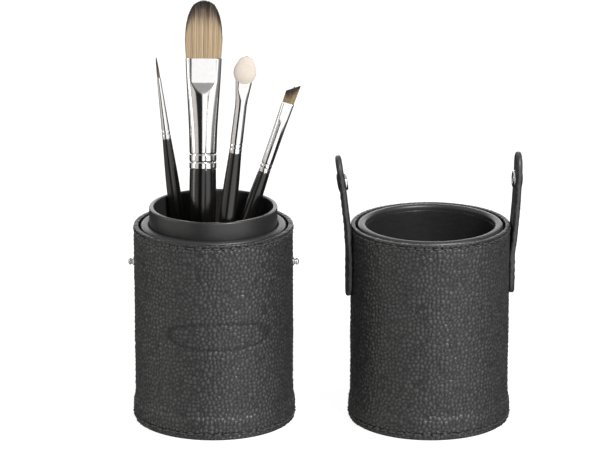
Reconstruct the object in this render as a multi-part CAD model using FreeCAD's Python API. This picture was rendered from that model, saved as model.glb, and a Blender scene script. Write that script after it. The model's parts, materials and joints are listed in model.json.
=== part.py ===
import FreeCAD, Part
import math
import os

# A two-part travel case for make-up brushes: a leather-covered cup with a spigot, the lid that
# stands beside it with its mouth up, two snap straps on the lid, and the four brushes in the cup.
# Millimetres, +Z up, origin at the centre of the cup's base. The lid stands in +X.

os.makedirs("parts", exist_ok=True)
V = FreeCAD.Vector
UP = V(0, 0, 1)

# Driving dimensions: the case
case_radius = 40.0
case_height = 101.5
leather = 1.25              # thickness of the leather sheet
hem_depth = 9.0             # how far the leather is turned in at the rim
rim_round = 0.9
groove = 0.9                # gap between the turned-in hem and the core; foam fills it lower down
lid_bore_radius = 32.4      # mouth of the lid
spigot_play = 0.3           # radial play of the cup's spigot in the lid
spigot_height = 9.0         # how far the liner stands above the cup's rim
liner_wall = 2.3
lining_wall = 0.8
core_rise = 0.2             # how far the core's end stands above the leather rim
core_round = 0.7
mouth_lip = 3.0             # the lid's core covers the end of the lining over this height
lid_distance = 108.6        # from the cup's axis to the lid's

# Driving dimensions: the base, alike on cup and lid
base_wall = 0.95            # upturned wall of the base cover, inside the leather
base_wall_height = 9.0
base_blend = 4.0            # height over which the leather runs back to its own radius
base_lift = 0.5             # the leather's lower edge above the floor
board = 2.0
felt = 1.5

# Driving dimensions: stitching
thread_radius = 0.35
thread_play = 0.02          # gap between a stitch and the curved leather under it
stitch_length = 3.3
stitch_pitch = 4.5
stitch_sink = 0.4           # depth of the channel that a row lies in
channel_height = 1.2
rim_stitch_drop = 2.2
base_stitch_height = 3.3
seam_margin = 9.0           # the back seam's rows stop this far from rim and base

# Driving dimensions: the snap fasteners
stud_drop = 20.0            # from the cup's rim to the stud
stud_head_radius = 1.7
stud_neck_radius = 1.25
stud_collar_radius = 2.1
stud_collar = 0.45
stud_height = 2.8
stud_throat = 1.5           # the neck ends this far below the stud's tip
rivet_radius = 0.8
rivet_flange_radius = 3.0
rivet_flange = 0.6
rivet_play = 0.05
rivet_seat = 0.15           # a flat flange stands off the leather's curved inside by this
flange_play = 0.3           # the foam is punched this much wider than the rivet's flange
closing_gap = 2.0           # between the two rims when the case is shut
socket_radius = 4.3
socket_height = 1.3
socket_sink_radius = 3.4
socket_lip = 0.3
socket_wall = 0.3
head_play = 0.35            # stud head in the socket's mouth
spring_wire = 0.28
cap_radius = 4.9
cap_edge = 0.4
cap_dome = 0.5
post_radius = 1.0
post_flare = 0.6

# Driving dimensions: the straps
strap_width = 15.0
strap_layer = 1.45
strap_reach_down = 37.0     # below the lid's rim, sewn to the shell
strap_reach_up = 36.0       # above the lid's rim, free
flex_drop = 13.5            # the strap bends this far below the rim
flex_gap = 2.4              # bare length left for the bend
strap_stand_off = 0.6       # free part off the shell when it is upright
strap_lean = {"left": 5.6, "right": 2.6}
strap_turn = 4.0            # the standing lid is turned this much about its own axis
strap_stitch_inset = 2.2

# Driving dimensions: the brushes stand on the cup's felt
foot_gap = 0.3
ferrule_wall = 0.35
glue_play = 0.05

base_radius = case_radius + base_wall
leather_inside = case_radius - leather
hem_inside = leather_inside - leather
core_radius = hem_inside - groove
spigot_radius = lid_bore_radius - spigot_play
cup_inside = spigot_radius - liner_wall
inner_floor = leather + board
felt_top = inner_floor + felt
spigot_top = case_height + spigot_height
core_top = case_height + core_rise


def turned(points):
    """A solid of revolution about Z from an outline of (radius, height) points."""
    corners = [V(r, 0, z) for r, z in points]
    face = Part.Face(Part.makePolygon(corners + corners[:1]))
    return face.revolve(V(0, 0, 0), UP, 360)


def tube(inner, outer, low, high):
    return turned([(inner, low), (outer, low), (outer, high), (inner, high)])


def disc(radius, low, high):
    return Part.makeCylinder(radius, high - low, V(0, 0, low))


def rounded(shape, radius, height, size):
    """Round the circular edge of that radius at that height."""
    found = []
    for edge in shape.Edges:
        if not isinstance(edge.Curve, Part.Circle):
            continue
        same_radius = abs(edge.Curve.Radius - radius) < 0.01
        if same_radius and abs(edge.Curve.Center.z - height) < 0.01:
            found.append(edge)
    return shape.makeFillet(size, found)


def save(name, shape):
    shape.exportStep("parts/" + name + ".step")
    print(name, len(shape.Solids), round(shape.Volume, 1), shape.isValid())


def at_lid(shape):
    moved = shape.copy()
    moved.translate(V(lid_distance, 0, 0))
    return moved


# Stitching

def stitch_ring(radius, height):
    """Stitches lying round a wall, half sunk in their channel."""
    count = round(2 * math.pi * radius / stitch_pitch)
    centre = radius - stitch_sink + thread_radius + thread_play
    stitches = []
    for index in range(count):
        start = V(centre, -stitch_length / 2, height)
        stitch = Part.makeCylinder(thread_radius, stitch_length, start, V(0, 1, 0))
        stitch.rotate(V(0, 0, 0), UP, 360.0 * (index + 0.5) / count)
        stitches.append(stitch)
    return Part.makeCompound(stitches)


def channel(radius, height):
    low = height - channel_height / 2
    return tube(radius - stitch_sink, radius + 2, low, low + channel_height)


def seam_heights():
    low = base_wall_height + base_blend + seam_margin
    high = case_height - rim_stitch_drop - seam_margin
    count = int((high - low) / stitch_pitch)
    return [low + stitch_pitch * (index + 0.5) for index in range(count)], low, high


def seam_stitches():
    """One upright row over the lapped ends of the leather, at the back."""
    centre = case_radius - stitch_sink + thread_radius + thread_play
    heights, low, high = seam_heights()
    stitches = []
    for height in heights:
        foot = V(0, centre, height - stitch_length / 2)
        stitches.append(Part.makeCylinder(thread_radius, stitch_length, foot, UP))
    return Part.makeCompound(stitches)


def seam_channel():
    heights, low, high = seam_heights()
    corner = V(-channel_height / 2, case_radius - stitch_sink, low)
    return Part.makeBox(channel_height, 2, high - low, corner)


# The covered shell, alike on cup and lid

def leather_shell():
    blend_top = base_wall_height + base_blend
    shell = turned([
        (base_radius, base_lift),
        (base_radius, base_wall_height),
        (case_radius, blend_top),
        (case_radius, case_height),
        (hem_inside, case_height),
        (hem_inside, case_height - hem_depth),
        (leather_inside, case_height - hem_depth),
        (leather_inside, blend_top),
        (leather_inside + base_wall, base_wall_height),
        (leather_inside + base_wall, base_lift),
    ])
    shell = rounded(shell, case_radius, case_height, rim_round)
    shell = rounded(shell, hem_inside, case_height, rim_round)
    shell = shell.cut(channel(case_radius, case_height - rim_stitch_drop))
    shell = shell.cut(channel(base_radius, base_stitch_height))
    return shell.cut(seam_channel())


def base_cover():
    """A leather disc with its edge turned up inside the shell and sewn to it."""
    outside = leather_inside + base_wall
    cover = turned([
        (0, 0),
        (outside, 0),
        (outside, base_wall_height),
        (leather_inside, base_wall_height),
        (leather_inside, leather),
        (0, leather),
    ])
    return rounded(cover, outside, 0, base_lift)


def foam_sleeve():
    return tube(core_radius, leather_inside, inner_floor, case_height - hem_depth)


def core_tube(inner):
    core = tube(inner, core_radius, inner_floor, core_top)
    return rounded(core, core_radius, core_top, core_round)


# Snap studs on the cup's two sides

stud_z = case_height - stud_drop


def outward(profile_points, side):
    """A turned piece laid with its axis along X through the stud, on side +1 or -1."""
    piece = turned(profile_points)
    piece.rotate(V(0, 0, 0), V(0, 1, 0), 90 * side)
    piece.translate(V(0, 0, stud_z))
    return piece


def snap_stud(side):
    start = case_radius
    bore_end = start + stud_collar + 0.5
    tip = start + stud_height
    return outward([
        (rivet_radius + rivet_play, start),
        (stud_collar_radius, start),
        (stud_collar_radius, start + stud_collar),
        (stud_neck_radius, start + stud_collar),
        (stud_neck_radius, tip - stud_throat),
        (stud_head_radius, tip - 0.7 * stud_throat),
        (stud_head_radius, tip - 0.4 * stud_throat),
        (stud_head_radius - 0.4 * stud_throat, tip),
        (0, tip),
        (0, bore_end),
        (rivet_radius + rivet_play, bore_end),
    ], side)


def stud_rivet(side):
    """Flanged rivet behind the leather; its shank holds the stud."""
    seat = leather_inside - rivet_seat
    shank_end = case_radius + stud_collar + 0.4
    return outward([
        (0, seat - rivet_flange),
        (rivet_flange_radius, seat - rivet_flange),
        (rivet_flange_radius, seat),
        (rivet_radius, seat),
        (rivet_radius, shank_end),
        (0, shank_end),
    ], side)


def stud_hole(radius, start, end, side):
    return outward([(0, start), (radius, start), (radius, end), (0, end)], side)


shell = leather_shell()
cup_shell = shell
cup_foam = foam_sleeve()
for side in (1, -1):
    cup_shell = cup_shell.cut(stud_hole(rivet_radius + rivet_play, core_radius, base_radius, side))
    cup_foam = cup_foam.cut(stud_hole(rivet_flange_radius + flange_play, cup_inside, base_radius, side))

save("cup_leather", cup_shell)
save("cup_foam_padding", cup_foam)
save("cup_core_tube", core_tube(spigot_radius))
liner = tube(cup_inside, spigot_radius, inner_floor, spigot_top)
save("cup_liner_tube", rounded(rounded(liner, spigot_radius, spigot_top, 0.7), cup_inside, spigot_top, 0.7))
save("cup_base_cover", base_cover())
save("cup_base_board", disc(leather_inside, leather, inner_floor))
save("cup_floor_felt", disc(cup_inside, inner_floor, felt_top))
save("cup_rim_stitches", stitch_ring(case_radius, case_height - rim_stitch_drop))
save("cup_base_stitches", stitch_ring(base_radius, base_stitch_height))
save("cup_seam_stitches", seam_stitches())
save("cup_snap_studs", Part.makeCompound([snap_stud(1), snap_stud(-1)]))
save("cup_stud_rivets", Part.makeCompound([stud_rivet(1), stud_rivet(-1)]))

save("lid_leather", at_lid(shell))
save("lid_foam_padding", at_lid(foam_sleeve()))
lining_radius = lid_bore_radius + lining_wall
lining_top = core_top - mouth_lip
lid_core = core_tube(lid_bore_radius).cut(disc(lining_radius, 0, lining_top))
save("lid_core_tube", at_lid(lid_core))
lining = tube(lid_bore_radius, lining_radius, felt_top, lining_top)
save("lid_lining_tube", at_lid(lining))
save("lid_base_cover", at_lid(base_cover()))
save("lid_base_board", at_lid(disc(leather_inside, leather, inner_floor)))
save("lid_floor_felt", at_lid(disc(lining_radius, inner_floor, felt_top)))
save("lid_rim_stitches", at_lid(stitch_ring(case_radius, case_height - rim_stitch_drop)))
save("lid_base_stitches", at_lid(stitch_ring(base_radius, base_stitch_height)))
save("lid_seam_stitches", at_lid(seam_stitches()))


# The straps. Each is one doubled leather strap: the lower part is sewn to the shell and follows
# it, and the free part above the bend is flat. They are drawn on the +X side and turned round.

flex_z = case_height - flex_drop
snap_z = case_height + stud_drop + closing_gap
strap_foot = case_height - strap_reach_down
strap_tip = case_height + strap_reach_up
strap_inside = case_radius + strap_stand_off
strap_outside = strap_inside + 2 * strap_layer
half_width = strap_width / 2


def strap_outline(low, high, round_low, round_high, depth, start):
    """A strap blank in the YZ plane, extruded along X; either end can be half round."""
    blank = Part.makeBox(depth, strap_width, high - low, V(start, -half_width, low))
    for is_round, end, way in ((round_low, low, 1), (round_high, high, -1)):
        if not is_round:
            continue
        centre = end + way * half_width
        square = Part.makeBox(depth, strap_width, half_width, V(start, -half_width, min(end, centre)))
        half_disc = Part.makeCylinder(half_width, depth, V(start, 0, centre), V(1, 0, 0))
        blank = blank.cut(square).fuse(half_disc.common(square))
    return blank.removeSplitter()


def anchor_layer(index):
    inner = case_radius + index * strap_layer
    ring = tube(inner, inner + strap_layer, 0, case_height)
    top = flex_z - flex_gap / 2
    blank = strap_outline(strap_foot, top, True, False, base_radius, case_radius / 2)
    return ring.common(blank)


def tab_layer(index):
    start = strap_inside + index * strap_layer
    return strap_outline(flex_z + flex_gap / 2, strap_tip, False, True, strap_layer, start)


def strap_rows(low, high, face_at):
    """Two upright rows of stitches near the strap's edges, lying on its outer face."""
    count = int((high - low) / stitch_pitch)
    margin = (high - low - count * stitch_pitch) / 2
    stitches = []
    for edge in (-1, 1):
        y = edge * (half_width - strap_stitch_inset)
        for index in range(count):
            foot_z = low + margin + stitch_pitch * (index + 0.5) - stitch_length / 2
            foot = V(face_at(y) + thread_radius, y, foot_z)
            stitches.append(Part.makeCylinder(thread_radius, stitch_length, foot, UP))
    return Part.makeCompound(stitches)


def anchor_face_at(y):
    return math.sqrt((case_radius + 2 * strap_layer) ** 2 - y ** 2) + thread_play


def tab_face_at(y):
    return strap_outside


def at_snap(profile_points):
    """A turned piece on the snap's axis. Heights run from the strap's inner face towards the lid's axis."""
    piece = turned(profile_points)
    piece.rotate(V(0, 0, 0), V(0, 1, 0), -90)
    piece.translate(V(strap_inside, 0, snap_z))
    return piece


socket_floor = -strap_layer + 0.05
socket_bore = stud_head_radius + head_play


def snap_socket():
    return at_snap([
        (socket_sink_radius, 0),
        (socket_radius, 0),
        (socket_radius, socket_height - 0.4),
        (socket_radius - 0.4, socket_height),
        (socket_bore, socket_height),
        (socket_bore, socket_height - socket_lip),
        (socket_sink_radius - socket_wall, socket_height - socket_lip),
        (socket_sink_radius - socket_wall, socket_floor + socket_wall),
        (post_radius + glue_play, socket_floor + socket_wall),
        (post_radius + glue_play, socket_floor),
        (socket_sink_radius, socket_floor),
    ])


def snap_spring():
    """The open wire ring under the socket's lip, which grips the stud's neck."""
    ring_radius = stud_head_radius + spring_wire
    height = socket_height - socket_lip - spring_wire
    ring = Part.makeTorus(ring_radius, spring_wire, V(0, 0, 0), UP, 0, 360, 320)
    ring.rotate(V(0, 0, 0), V(0, 1, 0), -90)
    ring.translate(V(strap_inside - height, 0, snap_z))
    return ring


def snap_cap():
    """Domed cap outside the strap, with a post through both layers flared inside the socket."""
    back = -2 * strap_layer
    flare = socket_floor + socket_wall
    chord = cap_radius - 0.3
    return at_snap([
        (0, back - cap_edge - cap_dome),
        (0.55 * chord, back - cap_edge - 0.7 * cap_dome),
        (chord, back - cap_edge),
        (cap_radius, back - cap_edge / 2),
        (cap_radius, back),
        (post_radius, back),
        (post_radius, flare),
        (post_radius + post_flare, flare),
        (post_radius + post_flare, flare + 0.25),
        (0, flare + 0.25),
    ])


def hole_at_snap(radius, low, high):
    return at_snap([(0, low), (radius, low), (radius, high), (0, high)])


def fit_strap(shape, hand, leans):
    """Lean a piece outward about the bend, turn it to its side and move it to the lid."""
    placed = shape.copy()
    if leans:
        bend = V(case_radius + strap_layer, 0, flex_z)
        placed.rotate(bend, V(0, 1, 0), strap_lean[hand])
    if hand == "left":
        placed.rotate(V(0, 0, 0), UP, 180)
    placed.rotate(V(0, 0, 0), UP, strap_turn)
    return at_lid(placed)


backing_cut = hole_at_snap(socket_sink_radius + glue_play, -strap_layer - 0.5, 1)
face_cut = hole_at_snap(post_radius + glue_play, -2 * strap_layer - 1, 0)
tab_low = flex_z + flex_gap / 2
fixed_pieces = {
    "strap_anchor_backing": anchor_layer(0),
    "strap_anchor_face": anchor_layer(1),
    "strap_anchor_stitches": strap_rows(strap_foot + half_width, flex_z - flex_gap, anchor_face_at),
}
free_pieces = {
    "strap_backing": tab_layer(0).cut(backing_cut),
    "strap_face": tab_layer(1).cut(face_cut),
    "strap_stitches": strap_rows(tab_low + 2, snap_z - cap_radius - 1, tab_face_at),
    "snap_cap": snap_cap(),
    "snap_socket": snap_socket(),
    "snap_spring": snap_spring(),
}
for hand in ("left", "right"):
    for name, piece in fixed_pieces.items():
        save(hand + "_" + name, fit_strap(piece, hand, False))
    for name, piece in free_pieces.items():
        save(hand + "_" + name, fit_strap(piece, hand, True))


# The brushes. Each is drawn upright with its foot at the origin, and then leaned.

def oval(across, through, height):
    """A closed oval wire: half widths along X and Y."""
    if across >= through:
        curve = Part.Ellipse(V(0, 0, 0), across, through)
        wire = Part.Wire([curve.toShape()])
    else:
        curve = Part.Ellipse(V(0, 0, 0), through, across)
        wire = Part.Wire([curve.toShape()])
        wire.rotate(V(0, 0, 0), UP, 90)
    wire.translate(V(0, 0, height))
    return wire


def lofted(sections):
    """A solid through oval sections of (half width, half thickness, height)."""
    wires = [oval(a, b, z) for a, b, z in sections]
    return Part.makeLoft(wires, True, False)


def brush_handle(length, foot_r, middle_r, swell_r, swell_drop, top_r, tenon_r, tenon):
    """Turned wooden handle: round foot, slim tail, swell under the ferrule, tenon inside it."""
    spline = Part.BSplineCurve()
    spline.interpolate([
        V(foot_r, 0, foot_r * 0.8),
        V(middle_r, 0, length * 0.45),
        V(swell_r, 0, length - swell_drop),
        V(top_r, 0, length),
    ])
    foot = Part.Arc(V(0, 0, 0), V(foot_r * 0.75, 0, foot_r * 0.25), V(foot_r, 0, foot_r * 0.8))
    tenon_top = length + tenon
    corners = [V(top_r, 0, length), V(tenon_r, 0, length), V(tenon_r, 0, tenon_top), V(0, 0, tenon_top)]
    edges = [foot.toShape(), spline.toShape()]
    for start, end in zip(corners, corners[1:] + [V(0, 0, 0)]):
        edges.append(Part.makeLine(start, end))
    return Part.Face(Part.Wire(edges)).revolve(V(0, 0, 0), UP, 360)


def ferrule(sections, wall):
    """Thin drawn-metal tube through oval sections."""
    inner = [(a - wall, b - wall, z) for a, b, z in sections]
    return lofted(sections).cut(lofted(inner))


def lean(shapes, foot_angle, foot_share, rim_angle, rim_gap, swell_r):
    """Stand brush pieces on the felt, leaning through a point in the plane of the spigot's rim."""
    foot_distance = foot_share * cup_inside
    rim_distance = cup_inside - swell_r - rim_gap
    fa = math.radians(foot_angle)
    ra = math.radians(rim_angle)
    foot = V(foot_distance * math.cos(fa), foot_distance * math.sin(fa), felt_top + foot_gap)
    rim = V(rim_distance * math.cos(ra), rim_distance * math.sin(ra), spigot_top)
    along = (rim - foot).normalize()
    side = V(1, 0, 0) - along * along.x
    side.normalize()
    turn = FreeCAD.Rotation(side, along.cross(side), along, "ZXY")
    print("   foot", foot, "axis", along)
    placed = []
    for shape in shapes:
        moved = shape.copy()
        moved.Placement = FreeCAD.Placement(foot, turn).multiply(shape.Placement)
        placed.append(moved)
    return placed


def save_brush(name, head_name, pieces, stance):
    leaned = lean(pieces, *stance)
    for part_name, piece in zip(("handle", "ferrule", head_name), leaned):
        save(name + "_" + part_name, piece)


# Fine liner brush: a long cone of a ferrule and a needle point of hair
liner_handle_length = 136.5
liner_swell = 3.4
liner_sections = [(2.2, 2.2, 0), (1.6, 1.6, 15.0), (0.95, 0.95, 31.3)]
liner_pieces = [
    brush_handle(liner_handle_length, 1.6, 2.5, liner_swell, 24.0, 2.15, 1.25, 10.0),
    turned([
        (2.2 - ferrule_wall, 0),
        (2.2, 0),
        (0.95, 31.3),
        (0.75, 31.3),
        (0.75, 20.0),
    ]),
    turned([(0, 21.0), (0.7, 21.0), (0.7, 31.3), (0.8, 33.5), (0.5, 38.0), (0.1, 42.0), (0, 42.0)]),
]
for piece in liner_pieces[1:]:
    piece.translate(V(0, 0, liner_handle_length))
save_brush("liner_brush", "hair", liner_pieces, (127.6, 0.381, 140.5, 0.6, liner_swell))

# Foundation brush: round ferrule pressed flat towards a wide rounded head
foundation_handle_length = 123.8
foundation_swell = 6.75
flat_top = 55.2
foundation_sections = [
    (6.8, 6.8, 0), (6.8, 6.8, 8.0), (7.5, 5.6, 26.0), (8.5, 3.4, 43.0), (9.1, 2.7, flat_top),
]
foundation_head = [
    (8.2, 1.9, flat_top - 8.0), (8.8, 2.3, flat_top), (9.4, 3.2, flat_top + 10.0),
    (8.8, 2.9, flat_top + 18.5), (6.9, 2.0, flat_top + 24.6), (2.6, 0.7, flat_top + 29.4),
]
foundation_pieces = [
    brush_handle(foundation_handle_length, 3.2, 4.5, foundation_swell, 9.0, 6.5, 6.2, 12.0),
    ferrule(foundation_sections, ferrule_wall),
    lofted(foundation_head),
]
for piece in foundation_pieces[1:]:
    piece.translate(V(0, 0, foundation_handle_length))
save_brush("foundation_brush", "hair", foundation_pieces, (241.6, 0.458, 120.2, 12.05, foundation_swell))

# Sponge applicator: a teardrop of foam on a flattened tip
sponge_handle_length = 140.9
sponge_swell = 3.9
sponge_top = 37.0
sponge_sections = [(3.1, 3.1, 0), (3.1, 3.1, 5.0), (2.9, 2.7, 24.0), (4.15, 1.5, sponge_top)]
sponge_head = [
    (2.6, 0.8, sponge_top - 5.0), (3.4, 0.95, sponge_top + 0.05), (4.9, 2.2, sponge_top + 0.4),
    (5.6, 3.0, sponge_top + 4.5), (4.5, 2.6, sponge_top + 8.5), (1.6, 1.0, sponge_top + 12.2),
]
sponge_pieces = [
    brush_handle(sponge_handle_length, 1.9, 2.9, sponge_swell, 20.0, 3.0, 2.5, 10.0),
    ferrule(sponge_sections, ferrule_wall),
    lofted(sponge_head),
]
for piece in sponge_pieces[1:]:
    piece.translate(V(0, 0, sponge_handle_length))
save_brush("sponge_applicator", "sponge", sponge_pieces, (255.2, 0.694, -72.6, 1.0, sponge_swell))

# Angled brush: a flat tuft cut on the slant, its long side to the right
angled_handle_length = 126.6
angled_swell = 3.45
angled_top = 37.0
slant = 36.5
angled_sections = [(2.95, 2.95, 0), (2.95, 2.95, 6.0), (2.95, 2.5, 22.0), (3.2, 1.6, angled_top)]
tuft = lofted([(2.6, 1.05, angled_top - 8.0), (2.85, 1.2, angled_top), (3.25, 0.8, angled_top + 12.0)])
knife = Part.makeBox(40, 20, 20, V(-20, -10, 0))
knife.rotate(V(0, 0, 0), V(0, 1, 0), -slant)
knife.translate(V(0, 0, angled_top + 8.0))
angled_pieces = [
    brush_handle(angled_handle_length, 1.7, 2.7, angled_swell, 12.0, 2.9, 2.4, 10.0),
    ferrule(angled_sections, ferrule_wall),
    tuft.cut(knife),
]
for piece in angled_pieces[1:]:
    piece.translate(V(0, 0, angled_handle_length))
save_brush("angled_brush", "hair", angled_pieces, (183.5, 0.554, 35.5, 0.9, angled_swell))
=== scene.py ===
# %% [markdown]
# # A travel case for make-up brushes
#
# The case is a round cup covered in pebbled leather, a lid of the same size beside it, two straps
# that snap the halves together, and the four brushes in the cup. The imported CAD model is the
# frame that the places below come from. Camera and lamps come first, then the finishes, and then
# each piece in the order in which a maker would work.

# %% Load the frame
import json
import math

import bmesh
import bpy
import numpy as np
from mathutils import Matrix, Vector, noise


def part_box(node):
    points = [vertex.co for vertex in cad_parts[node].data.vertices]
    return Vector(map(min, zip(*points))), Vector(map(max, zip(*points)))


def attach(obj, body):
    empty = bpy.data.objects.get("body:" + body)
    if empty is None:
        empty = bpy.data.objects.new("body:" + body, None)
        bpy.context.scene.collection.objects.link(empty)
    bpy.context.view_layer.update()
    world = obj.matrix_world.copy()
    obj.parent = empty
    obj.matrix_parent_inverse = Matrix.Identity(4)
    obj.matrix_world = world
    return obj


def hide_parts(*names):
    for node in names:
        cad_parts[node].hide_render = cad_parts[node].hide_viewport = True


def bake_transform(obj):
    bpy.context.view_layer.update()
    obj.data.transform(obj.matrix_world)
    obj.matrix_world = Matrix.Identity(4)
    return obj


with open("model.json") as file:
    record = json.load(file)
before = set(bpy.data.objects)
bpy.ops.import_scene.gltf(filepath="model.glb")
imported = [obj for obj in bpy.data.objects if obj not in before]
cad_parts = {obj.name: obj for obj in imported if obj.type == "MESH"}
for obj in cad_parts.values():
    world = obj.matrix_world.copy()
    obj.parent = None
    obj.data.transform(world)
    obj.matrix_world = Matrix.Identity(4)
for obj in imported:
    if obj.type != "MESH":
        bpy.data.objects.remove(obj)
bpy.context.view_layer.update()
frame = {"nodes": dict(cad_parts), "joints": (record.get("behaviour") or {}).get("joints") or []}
MM = 0.001
rng = np.random.default_rng(7)

# %% [markdown]
# ## The camera
#
# A long lens from nearly two metres away keeps the cylinders' sides upright. It looks down by
# 16 degrees, so that the rims open into flat ovals.

# %% Camera
camera = bpy.data.objects.new("camera", bpy.data.cameras.new("camera"))
bpy.context.scene.collection.objects.link(camera)
camera.location = (0.04336, -1.8306, 0.6308)
camera.rotation_euler = (math.radians(90 - 16.16), 0, 0)
camera.data.sensor_width = 36
camera.data.lens = 228.4
bpy.context.scene.camera = camera
bpy.context.scene.view_settings.view_transform = "Standard"


print("camera lens", camera.data.lens, "mm, tilt", round(math.degrees(camera.rotation_euler.x), 2))

# %% [markdown]
# ## Shader nodes in code
#
# A finish in Blender is a small network of nodes, and the same few moves come back all the time:
# add a node, stretch a value to another range, combine two values, turn a value into a colour.
# Each gets a short helper, for sky and finishes alike.

# %% Node helpers
def material(name):
    """A new material and its node tree, holding one Principled shader."""
    made = bpy.data.materials.new(name)
    made.use_nodes = True
    return made, made.node_tree, made.node_tree.nodes["Principled BSDF"]


def node(tree, kind, **values):
    """Add a shader node; values with a leading underscore name its inputs."""
    made = tree.nodes.new(kind)
    for key, value in values.items():
        if key.startswith("_"):
            made.inputs[key[1:].replace("_", " ")].default_value = value
        else:
            setattr(made, key, value)
    return made


def level(tree, value, low, high, low_in=0.0, high_in=1.0):
    """Stretch a value from one range to another, and hold it there."""
    made = node(tree, "ShaderNodeMapRange", _From_Min=low_in, _From_Max=high_in,
                _To_Min=low, _To_Max=high)
    tree.links.new(value, made.inputs["Value"])
    return made.outputs["Result"]


def combine(tree, operation, first, second):
    """Add, multiply or otherwise combine two values, either of which may be a number."""
    made = node(tree, "ShaderNodeMath", operation=operation)
    for socket, value in zip(made.inputs, (first, second)):
        if isinstance(value, (int, float)):
            socket.default_value = value
        else:
            tree.links.new(value, socket)
    return made.outputs[0]


def ramp(tree, value, *stops, blend="LINEAR"):
    """A colour ramp over (position, colour) stops."""
    made = node(tree, "ShaderNodeValToRGB")
    made.color_ramp.interpolation = blend
    while len(made.color_ramp.elements) < len(stops):
        made.color_ramp.elements.new(0.5)
    for element, (position, colour) in zip(made.color_ramp.elements, stops):
        element.position = position
        element.color = (*colour, 1)
    tree.links.new(value, made.inputs["Fac"])
    return made.outputs["Color"]


def gray(value, warm=0.0):
    """A grey of this brightness; warm above 0 leans it towards brown."""
    return (value * (1 + warm), value, value * (1 - warm))


print("a warm mid grey is", gray(0.5, 0.1))

# %% [markdown]
# ### The floor
#
# The floor is white paper. It glows a little by itself, so that it stays an even white right up
# to the case's foot, and it is hidden from reflections, which would lighten the leather.

# %% Floor
floor_paint, tree, shader = material("floor_paper")
grain = node(tree, "ShaderNodeTexNoise", _Scale=9.0, _Detail=3.0)
tree.links.new(level(tree, grain.outputs["Fac"], 0.24, 0.27), shader.inputs["Base Color"])
shader.inputs["Roughness"].default_value = 0.9
shader.inputs["Specular IOR Level"].default_value = 0.1
shader.inputs["Emission Color"].default_value = (1, 1, 1, 1)
shader.inputs["Emission Strength"].default_value = 0.92
bpy.ops.mesh.primitive_plane_add(size=12, location=(0, 0, 0))
floor = bpy.context.object
floor.name = "floor"
floor.data.materials.append(floor_paint)
floor.visible_glossy = False
print("floor", round(floor.dimensions.x), "m wide")

# %% [markdown]
# ## The light
#
# Plated metal has no colour of its own: it shows the studio. So the sky carries what stands
# round a product table. There is a wide soft light to the left, another to the front right, the
# dark room between them, a low bright wall behind, which lights the rings inside the rims, and
# more dark beside it. It is a colour ramp over the compass angle, which costs nothing and can't
# cast a hard shadow. The camera itself sees plain white there, and matt surfaces only take a
# quarter of it, because the lamps are there to light those.

# %% Sky
world = bpy.data.worlds.new("studio")
bpy.context.scene.world = world
world.use_nodes = True
sky = world.node_tree
sky.nodes.clear()
SKY_RING = (
    (-180, 0.05), (-120, 0.04), (-108, 0.62), (-42, 0.75), (-34, 0.02), (-7, 0.02), (-2, 1.35),
    (60, 1.45), (72, 0.30), (104, 0.24), (116, 0.04), (180, 0.05),
)
WARM_BELOW = -40


def plain_mix(tree, share, first, brightness):
    """Mix a colour towards a plain grey or white of this brightness."""
    made = node(tree, "ShaderNodeMix", data_type="RGBA")
    made.inputs["B"].default_value = (brightness, brightness, brightness, 1)
    tree.links.new(share, made.inputs["Factor"])
    tree.links.new(first, made.inputs["A"])
    return made.outputs["Result"]


split = node(sky, "ShaderNodeSeparateXYZ")
sky.links.new(node(sky, "ShaderNodeTexCoord").outputs["Generated"], split.inputs[0])
to_side, to_back, upward = (split.outputs[axis] for axis in "XYZ")
compass = combine(sky, "ARCTAN2", to_side, combine(sky, "MULTIPLY", to_back, -1.0))
studio = ramp(
    sky, level(sky, compass, 0, 1, -math.pi, math.pi),
    *[((degrees + 180) / 360,
       (bright, bright, bright) if degrees > WARM_BELOW else (bright, 0.95 * bright, 0.91 * bright))
      for degrees, bright in SKY_RING], blend="EASE")
studio = plain_mix(sky, level(sky, upward, 0, 1, 0.45, 0.8), studio, 0.30)
wall = combine(sky, "MULTIPLY", level(sky, to_back, 0, 1, 0.45, 0.85),
               level(sky, upward, 0, 1, -0.02, 0.08))
wall = combine(sky, "MULTIPLY", wall, level(sky, upward, 1, 0, 0.36, 0.55))
studio = plain_mix(sky, wall, studio, 2.8)
seen = node(sky, "ShaderNodeLightPath")
studio = plain_mix(sky, seen.outputs["Is Camera Ray"], studio, 1)
glow = node(sky, "ShaderNodeBackground")
sky.links.new(studio, glow.inputs["Color"])
sky.links.new(level(sky, seen.outputs["Is Diffuse Ray"], 1.0, 0.25), glow.inputs["Strength"])
sky.links.new(glow.outputs[0], node(sky, "ShaderNodeOutputWorld").inputs["Surface"])
print("sky:", len(SKY_RING), "stops round the compass,", len(sky.nodes), "nodes")

# %% [markdown]
# ### Lamps
#
# Three large lamps shape the leather. The key stands high to the front right and rakes across
# the pebbles, a weak strip opens the left edge, and a broad sheet overhead fills the shadows.

# %% Lamps
def lamp(name, where, size, watts):
    """A soft rectangular lamp that looks at the middle of the case."""
    data = bpy.data.lights.new(name, "AREA")
    data.shape = "RECTANGLE"
    data.size, data.size_y = size
    data.energy = watts
    made = bpy.data.objects.new(name, data)
    bpy.context.scene.collection.objects.link(made)
    made.location = where
    made.rotation_euler = (Vector(middle) - Vector(where)).to_track_quat("-Z", "Y").to_euler()


middle = (0.055, 0, 0.08)
lamp("key", (0.70, -1.10, 1.15), (0.28, 0.36), 36)
lamp("left_strip", (-1.3, -0.15, 0.5), (0.35, 1.0), 4)
lamp("top", (0.05, 0.1, 1.9), (2.2, 2.2), 6)

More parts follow.
